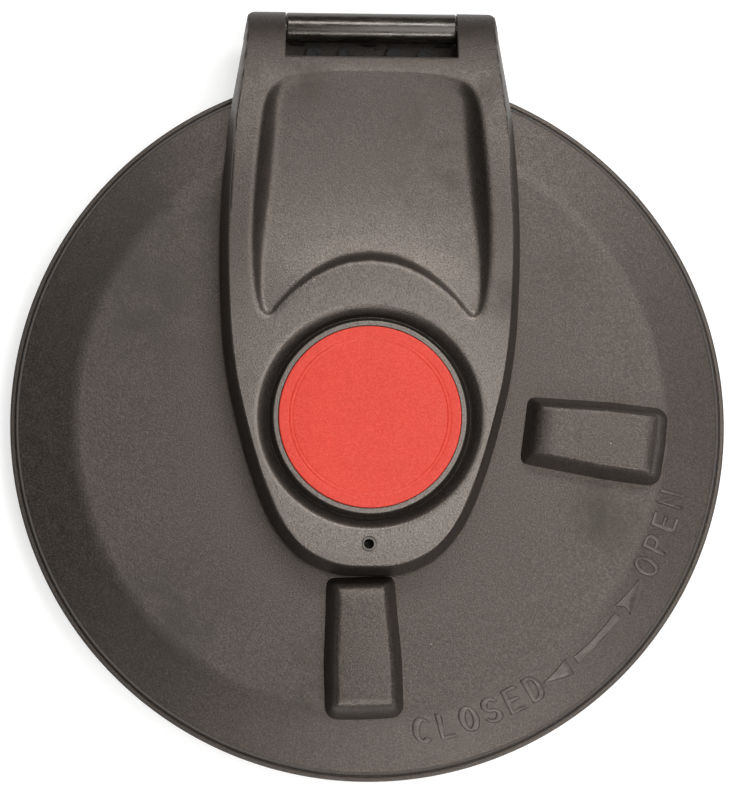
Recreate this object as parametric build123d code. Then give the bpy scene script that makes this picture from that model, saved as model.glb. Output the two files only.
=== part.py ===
from build123d import *
import os
from math import cos, radians, sin

# Hinged twist-lock lid for a liquid tank: neck ring, hinge, arm, lid and breather valve.
# Frame: millimetres, +Z up out of the tank, +Y towards the hinge.
# Origin: centre of the neck ring, on the underside of its flange.
# Rest: arm down, lid turned to its unlocked end, breather closed.

# ---- driving dimensions ----
LID_R = 177.5            # outer lip of the lid
PLATEAU_R = 146.0        # edge of the flat middle of the lid
PLATEAU_Z = 29.0         # height of that edge
CROWN = 0.7              # how much higher the middle is
FACE_EDGE = (170.5, 22.2)  # where the sloping border turns down, r and z
LID_WALL = 4.0
SKIRT_R = 174.0
SKIRT_LOW = 9.0

FLANGE_R = (127.0, 168.0)  # inner and outer radius
FLANGE_T = 6.0
GASKET_T = 3.0
BOLT_PCD = 280.0
BOLT_COUNT = 8
BOLT_HOLE_R = 3.3
NECK_R = (150.0, 156.0)
NECK_TOP = 19.5
CATCH_R = 162.5          # outside of the bayonet catches on the neck
CATCH_Z = (13.0, 17.5)
CATCH_ARC = 34.0         # degrees of arc for each catch
CAM_R = 160.0            # inside of the cams on the lid skirt
CAM_Z = (SKIRT_LOW, 12.5)
CAM_ARC = 32.0
BAYONETS = 4

AXIS_Y = 197.8           # hinge axis
AXIS_Z = 27.0
BARREL_R = 7.35
BARREL_BORE = 5.5
BARREL_LENGTH = 83.0
BUSH_DEPTH = 16.0        # how far a bush goes into the barrel
BUSH_RIM_R = 6.6
SLOT_HALF = 42.6         # half width of the gap between the arm's ears
SLOT_Y = 182.0
PIN_R = 4.0
PIN_HALF = 57.0
PIN_CAP_R = 6.5
PIN_CAP_PROUD = 0.25     # how far the caps stand out of the ears
RUNNING = 0.05           # radial clearance of a turning fit
GAP = 0.3                # gap between parts that move past each other

TAB_HALF = 50.0          # tab of the neck flange under the hinge
TAB_Y = 204.2
FOOT_HALF = 42.0         # foot of the hinge bracket
FOOT_Y = 182.2
FOOT_TOP = 10.0
WEB_XS = (-36, 0, 36)
WEB_T = 6.0
WEB_Y = 191.2
SCREW_XS = (-28, -12, 12, 28)
SCREW_Y = 186.6
SCREW_R = 2.4
SCREW_HEAD = (4.0, 3.2)  # radius and height
SOCKET = (2.2, 0.8)      # hexagon's corner radius and depth
INSERT_R = 3.6

ARM_LOW = 33.5           # underside of the arm's walls over the lid
ARM_TOP = 53.4
ARM_WALL = 4.0
ARM_DRAFT = 0.2          # inset of the walls for each mm of height
ARM_BOTTOM = 17.0        # below the lowest point of the ears
ARM_END = (60.9, 205.7)  # corner of an ear
ARM_SHOULDER = (70.6, 150.3)
ARM_RIB_XS = (-30, 0, 30)
ARM_RIB_T = 3.0

CAP_R = 45.5
CAP_TOP = 53.8
CAP_T = 3.0
COLLAR_R = (46.2, 47.7)  # rim round the cap
TROUGH_R = 54.0
TROUGH_DEPTH = 4.6
HUB_FLOOR = (43.5, 47.5)
HUB_BOSS_R = 31.0
HUB_BOSS_LOW = 33.3
HUB_SCREWS = 6
HUB_SCREW_RADIUS = 24.5
HUB_SCREW_HEAD = (4.2, 48.6)  # radius, and height of its underside
CAP_SKIRT = (42.0, 44.5)
CAP_GROOVES = (38.1, 40.0)
GROOVE = (0.4, 0.25)     # width and depth

SPINDLE_R = 17.0
SPINDLE_BORE = 11.0
SPINDLE_LOW = 8.5
SPINDLE_HEAD = (30.0, 50.3)  # radius and top
PORT_R = 0.8
LID_BOSS_R = 28.0
LID_BOSS_LOW = 17.3
BUSH_WALL = 3.0
BUSH_FLANGE_R = 26.0
BUSH_TOP = 31.2
NUT_R = 25.0
NUT_Z = (9.0, 15.0)
SPRING_WASHER_R = 24.0
O_RING_WIRE = 1.1
O_RING_R = 18.2
O_RING_Z = 23.0
SEAL_R = (147.6, 158.4)
SEAL_TOP = 22.7
LID_RIBS = 12
LID_RIB = (3.0, 3.6)     # thickness and depth

SEAT_Z = (10.0, 14.0)
STEM_R = 2.0
POPPET_R = 9.0
POPPET_T = 2.0
SEAL_T = 1.4
POPPET_TOP = SEAT_Z[0] - 0.2 - SEAL_T
CLIP_Z = (24.0, 26.0)
SPRING_R = 3.7
SPRING_WIRE = 0.45
SPRING_TURNS = 5
CLIP_R = 5.0
BAFFLE_R = 22.0
BAFFLE_Z = (-1.0, 0.6)
BAFFLE_POST = (1.8, 19.5)    # radius, and distance from the middle
BAFFLE_RING_LOW = 7.4

GRIP_START = 77.0        # distance of a grip's inner end from the middle
GRIP_LENGTH = 70.0
GRIP_WIDTH = (33.0, 39.0)  # at its inner and outer ends
GRIP_HEIGHT = 15.0
GRIP_DRAFT = 14.0
GRIP_CORNER = 6.0
GRIP_EDGE = 3.5
GRIP_MIRROR_LINE = -47.4   # degrees: the two grips are each other's mirror about this line
GRIP_START_ANGLE = -2.2
GRIP_YAW = -6.9

EYELET_Y = -62.8
EYELET_R = (2.5, 3.2)    # bore and outside
EYELET_Z = (41.4, 51.4)
EYELET_FOOT_R = 4.45
EYELET_POCKET = (3.9, 50.0)  # radius and floor of the recess round its top

LINK_OVERLAP = 0.5       # how far joined features run into each other


# ---- helpers ----
def disc(radius, z_low, z_high, x=0, y=0):
    return Pos(x, y, (z_low + z_high) / 2) * Cylinder(radius, z_high - z_low)


def ring(r_in, r_out, z_low, z_high):
    return disc(r_out, z_low, z_high) - disc(r_in, z_low, z_high)


def block(x_low, x_high, y_low, y_high, z_low, z_high):
    middle = Pos((x_low + x_high) / 2, (y_low + y_high) / 2, (z_low + z_high) / 2)
    return middle * Box(x_high - x_low, y_high - y_low, z_high - z_low)


def arc_block(r_in, r_out, z_low, z_high, middle_angle, arc):
    """Part of a ring: arc degrees wide, centred on middle_angle."""
    section = Pos((r_in + r_out) / 2, (z_low + z_high) / 2) * Rectangle(r_out - r_in, z_high - z_low)
    return Rot(0, 0, middle_angle - arc / 2) * revolve(Plane.XZ * section, Axis.Z, arc)


def x_cylinder(radius, x_low, x_high, y=AXIS_Y, z=AXIS_Z):
    return Pos((x_low + x_high) / 2, y, z) * Rot(0, 90, 0) * Cylinder(radius, x_high - x_low)


def spread(shape, radius, count, first_angle=0):
    """Copies of a shape evenly round a circle."""
    copies = []
    for step in range(count):
        angle = radians(first_angle + step * 360 / count)
        copies.append(Pos(radius * cos(angle), radius * sin(angle), 0) * shape)
    return copies


def y_profile(points, half_width):
    """Solid across the arm whose side view is the closed outline through points (y, z)."""
    side = make_face(points)
    return extrude(Plane.YZ * side, half_width, both=True)


# ---- neck, fixed to the tank ----
def make_neck_ring():
    body = ring(*FLANGE_R, 0, FLANGE_T)
    body += ring(*NECK_R, FLANGE_T - LINK_OVERLAP, NECK_TOP)
    tab = block(-TAB_HALF, TAB_HALF, NECK_R[0], TAB_Y, 0, FLANGE_T)
    tab -= disc(NECK_R[1] - LINK_OVERLAP, 0, FLANGE_T)
    body += tab
    for number in range(BAYONETS):
        angle = number * 360 / BAYONETS
        body += arc_block(NECK_R[1] - LINK_OVERLAP, CATCH_R, *CATCH_Z, angle, CATCH_ARC)
        stop_angle = angle - CATCH_ARC / 2 - 1
        body += arc_block(NECK_R[1] - LINK_OVERLAP, CATCH_R, CAM_Z[0], CATCH_Z[1], stop_angle, 2)
    for hole in spread(disc(BOLT_HOLE_R, 0, FLANGE_T), BOLT_PCD / 2, BOLT_COUNT, 22.5):
        body -= hole
    for x in SCREW_XS:
        body -= disc(INSERT_R, 0, FLANGE_T, x, SCREW_Y)
    return body


def make_gasket():
    body = ring(FLANGE_R[0], FLANGE_R[1] - 2, -GASKET_T, 0)
    for hole in spread(disc(BOLT_HOLE_R + 0.7, -GASKET_T, 0), BOLT_PCD / 2, BOLT_COUNT, 22.5):
        body -= hole
    return body


def make_hinge_bracket():
    body = block(-FOOT_HALF, FOOT_HALF, FOOT_Y, TAB_Y, FLANGE_T, FOOT_TOP)
    for x in WEB_XS:
        body += block(x - WEB_T / 2, x + WEB_T / 2, WEB_Y, TAB_Y, FOOT_TOP - LINK_OVERLAP, AXIS_Z)
    body -= x_cylinder(BARREL_R, -TAB_HALF, TAB_HALF)
    for x in SCREW_XS:
        body -= disc(SCREW_R, FLANGE_T, FOOT_TOP, x, SCREW_Y)
    return body


def make_barrel():
    outside = x_cylinder(BARREL_R, -BARREL_LENGTH / 2, BARREL_LENGTH / 2)
    outside = chamfer(outside.edges().filter_by(GeomType.CIRCLE), 1.0)
    return outside - x_cylinder(BARREL_BORE, -BARREL_LENGTH / 2, BARREL_LENGTH / 2)


def make_bush(side):
    end = BARREL_LENGTH / 2
    body = x_cylinder(BARREL_BORE, end - BUSH_DEPTH, end)
    body += x_cylinder(BUSH_RIM_R, end, SLOT_HALF - GAP)
    body -= x_cylinder(PIN_R + RUNNING, end - BUSH_DEPTH, SLOT_HALF)
    return body if side > 0 else mirror(body, Plane.YZ)


def make_bracket_screws():
    head_r, head_height = SCREW_HEAD
    head_top = FOOT_TOP + head_height
    screws = []
    for x in SCREW_XS:
        head = disc(head_r, FOOT_TOP, head_top, x, SCREW_Y)
        head -= Pos(x, SCREW_Y, head_top - SOCKET[1]) * extrude(RegularPolygon(SOCKET[0], 6), SOCKET[1])
        screws.append(head + disc(SCREW_R, 0.5, FOOT_TOP, x, SCREW_Y))
    return screws


def make_inserts():
    inserts = []
    for x in SCREW_XS:
        tube = disc(INSERT_R, 0, FLANGE_T, x, SCREW_Y)
        inserts.append(tube - disc(SCREW_R, 0, FLANGE_T, x, SCREW_Y))
    return inserts


# ---- arm ----
def arm_outline(inset):
    """Plan of the arm, drawn inside its widest outline by inset."""
    end = Vector(ARM_END[0] - inset, ARM_END[1])
    shoulder = Vector(ARM_SHOULDER[0] - inset, ARM_SHOULDER[1])
    side = [
        shoulder,
        Vector(74.4 - inset, 88),
        Vector(73.2 - inset, 46),
        Vector(65.9 - 0.97 * inset, 1.1 + 0.25 * inset),
        Vector(53.8 - 0.91 * inset, -38.7 + 0.42 * inset),
        Vector(34.5 - 0.6 * inset, -66.6 + 0.8 * inset),
        Vector(0, -77.2 + inset),
    ]
    curve = Spline(*side, tangents=[shoulder - end, Vector(-1, 0)])
    straight = Line(end, shoulder)
    cross = Line(Vector(-end.X, end.Y), end)
    return make_face([cross, straight, curve, mirror(curve, Plane.YZ), mirror(straight, Plane.YZ)])


def arm_block(z_high, inset):
    """Block on the arm's outline, drafted above ARM_LOW, where inset is measured, and straight below it."""
    high = inset + (z_high - ARM_LOW) * ARM_DRAFT
    upper = loft([Pos(0, 0, ARM_LOW) * arm_outline(inset), Pos(0, 0, z_high) * arm_outline(high)], ruled=True)
    return upper + Pos(0, 0, ARM_BOTTOM) * extrude(arm_outline(inset), ARM_LOW - ARM_BOTTOM)


def arm_side_view():
    """Arched side view of the arm with its ears round the hinge axis."""
    top = Spline(
        (-84, 47.6), (-60, 51.5), (-25, 53.2), (35, ARM_TOP), (100, 53.3), (130, 52.2),
        (150, 50.2), (166, 47.4), (178, 44.4), (191.2, 39.6), (200.2, 34.8),
    )
    nose = ThreePointArc((200.2, 34.8), (205.6, 27.5), (201.7, 19.5))
    under = Polyline((201.7, 19.5), (195.2, 18.4), (188.2, 18.6), (181, 22.4), (152, ARM_LOW), (-84, ARM_LOW))
    return make_face([top, nose, under, Line((-84, ARM_LOW), (-84, 47.6))])


def arm_roof():
    """Side view of the space inside the arm."""
    roof = Spline(
        (-84, 43.6), (-60, 47.3), (-25, 49.0), (35, 49.2), (60, 47.5), (90, 44), (108, 41.5), (128, 39.5),
        (148, 38.7), (160, 38.9), (168, 39.5),
    )
    return make_face([roof, Polyline((168, 39.5), (168, 10), (-84, 10), (-84, 43.6))])


def scoop_block():
    """The dished recess between the cap and the hinge."""
    def outline(inset):
        corner = Vector(44 - inset, 171.5 - inset)
        low_corner = Vector(54.2 - inset, 158 - inset / 2)
        tip = Vector(48.4 - inset * 0.6, 51 + inset)
        far = Spline(corner, (0, 173.6 - inset), (-corner.X, corner.Y))
        bend = ThreePointArc(corner, (51.3 - inset, 167.5 - inset), low_corner)
        flank = Spline(low_corner, (58.2 - inset, 108), (57 - inset, 66), tip)
        near = Spline(tip, (25, 70.6 + inset), (0, 77.6 + inset), (-25, 70.6 + inset), (-tip.X, tip.Y))
        return make_face([far, bend, flank, near, mirror(flank, Plane.YZ), mirror(bend, Plane.YZ)])

    drafted = loft([Pos(0, 0, 40) * outline(5.0), Pos(0, 0, 58) * outline(-1.0)], ruled=True)
    floor = Spline(
        (176, 45.2), (162, 43.6), (148, 42.9), (128, 43.7), (108, 45.7), (90, 48.3), (76, 50.6), (46, 53.0),
    )
    above = make_face([floor, Polyline((46, 53.0), (46, 70), (176, 70), (176, 45.2))])
    return drafted & extrude(Plane.YZ * above, 80, both=True)


def trough_section():
    """Half section of the groove between the rim round the cap and the arm's top."""
    inner, low = COLLAR_R[1], ARM_TOP - TROUGH_DEPTH
    return make_face(Polyline(
        (inner, 60), (inner, ARM_TOP - 0.4), (inner + 1.6, low), (inner + 2.6, low),
        (TROUGH_R, ARM_TOP - 0.6), (TROUGH_R + 2, 60), close=True,
    ))


def make_hinge_arm():
    shape = arm_block(56, 0) & extrude(Plane.YZ * arm_side_view(), 90, both=True)
    body = shape - block(-SLOT_HALF, SLOT_HALF, SLOT_Y, 210, 0, 60)
    body -= scoop_block()
    cavity = arm_block(52, ARM_WALL) & extrude(Plane.YZ * arm_roof(), 90, both=True)
    body -= cavity

    body -= disc(COLLAR_R[0], HUB_FLOOR[1], 60)
    body += ring(COLLAR_R[0], TROUGH_R + 2, HUB_FLOOR[0], ARM_TOP - 1) & shape
    body += disc(COLLAR_R[1], *HUB_FLOOR)
    body += disc(HUB_BOSS_R, HUB_BOSS_LOW, HUB_FLOOR[1])
    for x in ARM_RIB_XS:
        rib = block(x - ARM_RIB_T / 2, x + ARM_RIB_T / 2, 28, 170, ARM_LOW, 60) & cavity
        body += rib - disc(HUB_BOSS_R - 1, 30, 50)
    body -= disc(COLLAR_R[0], HUB_FLOOR[1], 60)
    body -= revolve(Plane.XZ * trough_section(), Axis.Z)
    body -= disc(SPINDLE_R, 20, 60)
    for hole in spread(disc(SCREW_R, 34, 48), HUB_SCREW_RADIUS, HUB_SCREWS):
        body -= hole

    body += disc(7, EYELET_Z[0] + 0.6, 48.4, 0, EYELET_Y)
    body -= disc(EYELET_R[1], 40, 60, 0, EYELET_Y)
    body -= disc(EYELET_POCKET[0], EYELET_POCKET[1], 60, 0, EYELET_Y)

    body -= x_cylinder(PIN_R, -PIN_HALF, PIN_HALF)
    for side in (-1, 1):
        body -= make_pin_cap(side)
    return body


def make_pin_cap(side):
    """Press-in cap over the pin's end, cut parallel to the ear's side and a little proud of it."""
    plug = x_cylinder(PIN_CAP_R, PIN_HALF, 70) & arm_block(40, -PIN_CAP_PROUD)
    return plug if side > 0 else mirror(plug, Plane.YZ)


def make_hub_spindle():
    head_r, head_top = SPINDLE_HEAD
    body = disc(SPINDLE_R, SPINDLE_LOW, HUB_FLOOR[1]) + disc(head_r, HUB_FLOOR[1], head_top)
    body -= disc(SPINDLE_BORE, SPINDLE_LOW, head_top)
    for hole in spread(disc(SCREW_R, HUB_FLOOR[1], head_top), HUB_SCREW_RADIUS, HUB_SCREWS):
        body -= hole
    screw_r, screw_seat = HUB_SCREW_HEAD
    for pocket in spread(disc(screw_r, screw_seat, head_top), HUB_SCREW_RADIUS, HUB_SCREWS):
        body -= pocket
    port_z = (BUSH_TOP + GAP + HUB_BOSS_LOW) / 2
    wall_middle = (SPINDLE_R + SPINDLE_BORE) / 2
    port = Pos(wall_middle, 0, port_z) * Rot(0, 90, 0) * Cylinder(PORT_R, SPINDLE_R - SPINDLE_BORE + 4)
    for number in range(4):
        body -= Rot(0, 0, 45 + number * 90) * port
    return body


def make_hub_screws():
    radius, seat = HUB_SCREW_HEAD
    top = SPINDLE_HEAD[1]
    head = disc(radius, seat, top) - Pos(0, 0, top - SOCKET[1]) * extrude(RegularPolygon(SOCKET[0], 6), 1)
    return spread(head + disc(SCREW_R, 36, seat), HUB_SCREW_RADIUS, HUB_SCREWS)


def make_red_cap():
    body = disc(CAP_R, CAP_TOP - CAP_T, CAP_TOP)
    body = fillet(body.edges().group_by(Axis.Z)[-1], 0.6)
    body += ring(*CAP_SKIRT, HUB_FLOOR[1], CAP_TOP - CAP_T + LINK_OVERLAP)
    width, depth = GROOVE
    for radius in CAP_GROOVES:
        body -= ring(radius - width / 2, radius + width / 2, CAP_TOP - depth, CAP_TOP)
    return body


def make_spindle_nut():
    hexagon = extrude(RegularPolygon(NUT_R, 6), NUT_Z[1] - NUT_Z[0])
    body = Pos(0, 0, NUT_Z[0]) * hexagon & disc(NUT_R - 0.8, *NUT_Z)
    return body - disc(SPINDLE_R, *NUT_Z)


def make_eyelet():
    low, top = EYELET_Z
    body = disc(EYELET_R[1], low, top, 0, EYELET_Y)
    body += disc(EYELET_FOOT_R, low, low + 0.6, 0, EYELET_Y)
    return body - disc(EYELET_R[0], low, top, 0, EYELET_Y)


# ---- lid ----
def lid_section():
    """Half section of the lid, r and z."""
    crown_z = PLATEAU_Z + CROWN
    points = [
        (SPINDLE_R + BUSH_WALL, crown_z), (LID_BOSS_R, crown_z), (PLATEAU_R, PLATEAU_Z), FACE_EDGE,
        (175.6, 18.2), (175.6, 17.0), (LID_R, 16.6), (LID_R, 14.2), (SKIRT_R, 13.4), (SKIRT_R, SKIRT_LOW),
        (170, SKIRT_LOW), (170, 18.4), (159, 21.8), (158.5, SEAL_TOP), (147.5, SEAL_TOP), (147.5, 18.6),
        (145.5, 18.6), (145.5, PLATEAU_Z - LID_WALL), (LID_BOSS_R, PLATEAU_Z - LID_WALL),
        (LID_BOSS_R, LID_BOSS_LOW), (SPINDLE_R + BUSH_WALL, LID_BOSS_LOW),
    ]
    section = make_face(Polyline(*points, close=True))
    for corner, radius in (((PLATEAU_R, PLATEAU_Z), 30.0), (FACE_EDGE, 5.0), ((SKIRT_R, 13.4), 0.8)):
        vertex = section.vertices().sort_by_distance((*corner, 0))[0]
        section = fillet(vertex, radius)
    return section


def make_grip():
    """One grip along +X, its inner end at the origin."""
    half_in, half_out = GRIP_WIDTH[0] / 2, GRIP_WIDTH[1] / 2
    plan = make_face(Polyline(
        (0, -half_in), (GRIP_LENGTH, -half_out), (GRIP_LENGTH, half_out), (0, half_in), close=True,
    ))
    plan = fillet(plan.vertices(), GRIP_CORNER)
    body = extrude(plan, GRIP_HEIGHT, taper=GRIP_DRAFT)
    body = fillet(body.edges().group_by(Axis.Z)[-1], GRIP_EDGE)
    return body + Pos(0, 0, -3) * extrude(plan, 3)


def place_grip(grip, start_angle, yaw):
    angle = radians(start_angle)
    place = Pos(GRIP_START * cos(angle), GRIP_START * sin(angle), PLATEAU_Z)
    return place * Rot(0, 0, yaw) * grip


def make_lid_shell():
    body = revolve(Plane.XZ * lid_section(), Axis.Z)
    grip = make_grip()
    body += place_grip(grip, GRIP_START_ANGLE, GRIP_YAW)
    twice = 2 * GRIP_MIRROR_LINE
    body += place_grip(grip, twice - GRIP_START_ANGLE, twice - GRIP_YAW)
    rib_t, rib_depth = LID_RIB
    ceiling = PLATEAU_Z - LID_WALL
    rib_z = (ceiling - rib_depth, ceiling + LINK_OVERLAP)
    rib = block(LID_BOSS_R - LINK_OVERLAP, PLATEAU_R, -rib_t / 2, rib_t / 2, *rib_z)
    for number in range(LID_RIBS):
        body += Rot(0, 0, number * 360 / LID_RIBS) * rib
    for number in range(BAYONETS):
        body += arc_block(CAM_R, 171, *CAM_Z, 45 + number * 360 / BAYONETS, CAM_ARC)
    return body


def make_hub_bush():
    body = disc(SPINDLE_R + BUSH_WALL, LID_BOSS_LOW, PLATEAU_Z + CROWN)
    body += disc(BUSH_FLANGE_R, PLATEAU_Z + CROWN, BUSH_TOP)
    body -= disc(SPINDLE_R + RUNNING, LID_BOSS_LOW, BUSH_TOP)
    return body - ring(SPINDLE_R, O_RING_R + O_RING_WIRE, O_RING_Z - 1.4, O_RING_Z + 1.4)


# ---- breather ----
def make_vent_seat():
    body = disc(SPINDLE_BORE, *SEAT_Z) - disc(STEM_R + RUNNING, *SEAT_Z)
    for hole in spread(disc(1.5, *SEAT_Z), 5.6, 6):
        body -= hole
    return body


def make_vent_poppet():
    return disc(POPPET_R, POPPET_TOP - POPPET_T, POPPET_TOP) + disc(STEM_R, POPPET_TOP, CLIP_Z[1])


def make_vent_spring():
    height = CLIP_Z[0] - SEAT_Z[1] - 2 * SPRING_WIRE
    coil = Helix(height / SPRING_TURNS, height, SPRING_R)
    wire = Plane(origin=coil @ 0, z_dir=coil % 0) * Circle(SPRING_WIRE)
    return Pos(0, 0, SEAT_Z[1] + SPRING_WIRE) * sweep(wire, path=coil)


def make_vent_baffle():
    body = disc(BAFFLE_R, *BAFFLE_Z) + ring(SPINDLE_R, BAFFLE_R, BAFFLE_RING_LOW, NUT_Z[0])
    post_r, post_place = BAFFLE_POST
    post = disc(post_r, BAFFLE_Z[1] - LINK_OVERLAP, BAFFLE_RING_LOW + LINK_OVERLAP)
    for copy in spread(post, post_place, 6):
        body += copy
    return body


nodes = {
    "neck_ring": make_neck_ring(),
    "flange_gasket": make_gasket(),
    "hinge_bracket": make_hinge_bracket(),
    "hinge_barrel": make_barrel(),
    "knuckle_bushes": [make_bush(-1), make_bush(1)],
    "bracket_screws": make_bracket_screws(),
    "bracket_inserts": make_inserts(),
    "hinge_arm": make_hinge_arm(),
    "hinge_pin": x_cylinder(PIN_R, -PIN_HALF, PIN_HALF),
    "pin_caps": [make_pin_cap(-1), make_pin_cap(1)],
    "red_cap": make_red_cap(),
    "hub_spindle": make_hub_spindle(),
    "hub_screws": make_hub_screws(),
    "thrust_washer": ring(SPINDLE_R, BUSH_FLANGE_R, BUSH_TOP + GAP, HUB_BOSS_LOW),
    "spindle_nut": make_spindle_nut(),
    "spring_washer": ring(SPINDLE_R, SPRING_WASHER_R, NUT_Z[1], LID_BOSS_LOW - GAP),
    "tip_eyelet": make_eyelet(),
    "vent_seat": make_vent_seat(),
    "vent_spring": make_vent_spring(),
    "vent_baffle": make_vent_baffle(),
    "lid_shell": make_lid_shell(),
    "lid_seal": ring(*SEAL_R, NECK_TOP + 0.2, SEAL_TOP),
    "hub_bush": make_hub_bush(),
    "hub_o_ring": Pos(0, 0, O_RING_Z) * Torus(O_RING_R, O_RING_WIRE),
    "vent_poppet": make_vent_poppet(),
    "vent_seal": ring(STEM_R, POPPET_R, POPPET_TOP, POPPET_TOP + SEAL_T),
    "vent_clip": ring(STEM_R, CLIP_R, *CLIP_Z),
}

os.makedirs("parts", exist_ok=True)
for name, shape in nodes.items():
    if isinstance(shape, list):
        shape = Compound(children=shape)
    export_step(shape, f"parts/{name}.step")
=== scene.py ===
import math

import bpy
import numpy as np
from mathutils import Matrix, Vector
from mathutils.geometry import delaunay_2d_cdt


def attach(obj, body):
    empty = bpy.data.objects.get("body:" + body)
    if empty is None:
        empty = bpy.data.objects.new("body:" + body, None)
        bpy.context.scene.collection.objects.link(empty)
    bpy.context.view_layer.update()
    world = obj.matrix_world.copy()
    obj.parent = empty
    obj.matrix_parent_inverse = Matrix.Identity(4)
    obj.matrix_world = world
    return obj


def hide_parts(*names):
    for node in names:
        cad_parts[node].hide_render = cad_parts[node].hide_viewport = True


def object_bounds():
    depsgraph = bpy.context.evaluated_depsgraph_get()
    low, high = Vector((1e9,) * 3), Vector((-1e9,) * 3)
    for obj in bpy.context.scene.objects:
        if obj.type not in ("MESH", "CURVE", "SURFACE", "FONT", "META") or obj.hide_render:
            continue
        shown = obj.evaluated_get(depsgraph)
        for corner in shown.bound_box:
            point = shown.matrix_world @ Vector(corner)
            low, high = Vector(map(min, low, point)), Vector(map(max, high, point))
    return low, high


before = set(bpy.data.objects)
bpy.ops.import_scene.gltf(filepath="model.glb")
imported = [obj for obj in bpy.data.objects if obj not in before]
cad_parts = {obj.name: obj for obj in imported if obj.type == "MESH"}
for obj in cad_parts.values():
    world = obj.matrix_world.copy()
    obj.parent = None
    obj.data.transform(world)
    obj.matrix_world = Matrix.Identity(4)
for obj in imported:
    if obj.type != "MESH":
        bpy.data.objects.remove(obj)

# Lengths in this script are millimetres, in the CAD frame, until make_mesh turns them into metres.
MM = 0.001
cad_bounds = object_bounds()

# ---- sizes shared with the CAD model ----
LID_R = 177.5
LIP_Z = (9.0, 14.0, 17.4)      # foot of the lid's skirt, and the lip's lower and upper faces
PLATEAU_R, PLATEAU_Z, CROWN = 146.0, 29.0, 0.7
BORDER_SLOPE = 0.2776          # fall of the sloping border for each mm outwards
ARM_LOW = 33.5                 # the arm's lower edge over the lid
ARM_DRAFT = 0.2                # run of the arm's walls for each mm up
AXIS_Y, AXIS_Z = 197.8, 27.0   # hinge pin
ARM_END = (60.9, 205.7)        # corner of an ear
SLOT_HALF, SLOT_Y = 42.6, 181.3
SLOT_EDGE = 0.9                # rounding of the slot's upper edge
CAP_R, CAP_TOP = 45.1, 53.8
COLLAR_IN, COLLAR_OUT = 45.4, 48.0
WELL_FLOOR = 47.5              # the arm's face under the cap
TROUGH_END, TROUGH_ROOF = 54.6, 43.5
HUB_R, HUB_FACE = 31.05, 33.3  # boss under the arm that holds the spindle
RIB_X, RIB_HALF, RIB_ENDS = 30, 1.51, (25, 169)
EYELET_Y, EYELET_HOLE = -62.8, 3.25
EYELET_POCKET, POCKET_FLOOR = 3.9, 50.0
BARREL_HALF, BARREL_OUT, BARREL_IN = 42.4, 7.55, 5.5


# ---- small maths helpers ----
def smooth_min(a, b, k):
    h = np.maximum(k - np.abs(a - b), 0.0) / k
    return np.minimum(a, b) - h * h * k * 0.25


def smooth_max(a, b, k):
    return -smooth_min(-a, -b, k)


def smooth_step(x, low, high):
    t = np.clip((x - low) / (high - low), 0.0, 1.0)
    return t * t * (3 - 2 * t)


def curve_through(points, step):
    """Points about step apart on a smooth open curve through the given ones (centripetal Catmull-Rom)."""
    p = np.array(points, float)
    p = np.vstack([2 * p[0] - p[1], p, 2 * p[-1] - p[-2]])
    out = []
    for i in range(1, len(p) - 2):
        knots = [0.0]
        for j in range(i - 1, i + 2):
            knots.append(knots[-1] + math.sqrt(np.linalg.norm(p[j + 1] - p[j])))
        t0, t1, t2, t3 = knots
        count = max(2, int(round(np.linalg.norm(p[i + 1] - p[i]) / step)))
        for t in np.linspace(t1, t2, count, endpoint=False):
            a1 = (t1 - t) / (t1 - t0) * p[i - 1] + (t - t0) / (t1 - t0) * p[i]
            a2 = (t2 - t) / (t2 - t1) * p[i] + (t - t1) / (t2 - t1) * p[i + 1]
            a3 = (t3 - t) / (t3 - t2) * p[i + 1] + (t - t2) / (t3 - t2) * p[i + 2]
            b1 = (t2 - t) / (t2 - t0) * a1 + (t - t0) / (t2 - t0) * a2
            b2 = (t3 - t) / (t3 - t1) * a2 + (t - t1) / (t3 - t1) * a3
            out.append((t2 - t) / (t2 - t1) * b1 + (t - t1) / (t2 - t1) * b2)
    out.append(p[-2])
    return np.array(out)


def height_along(points):
    """Smooth function through (position, height) pairs."""
    line = curve_through(points, 1.0)
    order = np.argsort(line[:, 0])
    return lambda x: np.interp(x, line[order, 0], line[order, 1])


def circle(radius, count, x=0.0, y=0.0):
    angle = np.arange(count) * 2 * math.pi / count
    return np.stack([x + radius * np.cos(angle), y + radius * np.sin(angle)], axis=1)


def close_up(loop):
    """The loop's points with the first one again at the end."""
    return np.vstack([loop, loop[:1]])


def signed_area(loop):
    """Twice the loop's area, positive when it runs counter-clockwise."""
    ahead = np.roll(loop, -1, axis=0)
    return (loop[:, 0] * ahead[:, 1] - ahead[:, 0] * loop[:, 1]).sum()


def outline_distance(points, loop, chunk=4000):
    """Distance from each point to a closed loop, positive inside it, and the nearest side's number."""
    a, b = loop, np.roll(loop, -1, axis=0)
    side = b - a
    length2 = np.maximum((side ** 2).sum(1), 1e-12)
    distance, nearest = np.empty(len(points)), np.empty(len(points), int)
    inside = np.zeros(len(points), bool)
    for start in range(0, len(points), chunk):
        p = points[start:start + chunk]
        rel = p[:, None, :] - a[None]
        t = np.clip((rel * side[None]).sum(2) / length2[None], 0, 1)
        d2 = ((rel - t[..., None] * side[None]) ** 2).sum(2)
        nearest[start:start + chunk] = d2.argmin(1)
        distance[start:start + chunk] = np.sqrt(d2.min(1))
        crosses = (a[None, :, 1] > p[:, 1:2]) != (b[None, :, 1] > p[:, 1:2])
        rise = np.where(side[:, 1] == 0, 1e-12, side[:, 1])
        x_at = a[None, :, 0] + (p[:, 1:2] - a[None, :, 1]) / rise[None] * side[None, :, 0]
        inside[start:start + chunk] = (crosses & (p[:, 0:1] < x_at)).sum(1) % 2 == 1
    return np.where(inside, distance, -distance), nearest


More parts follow.
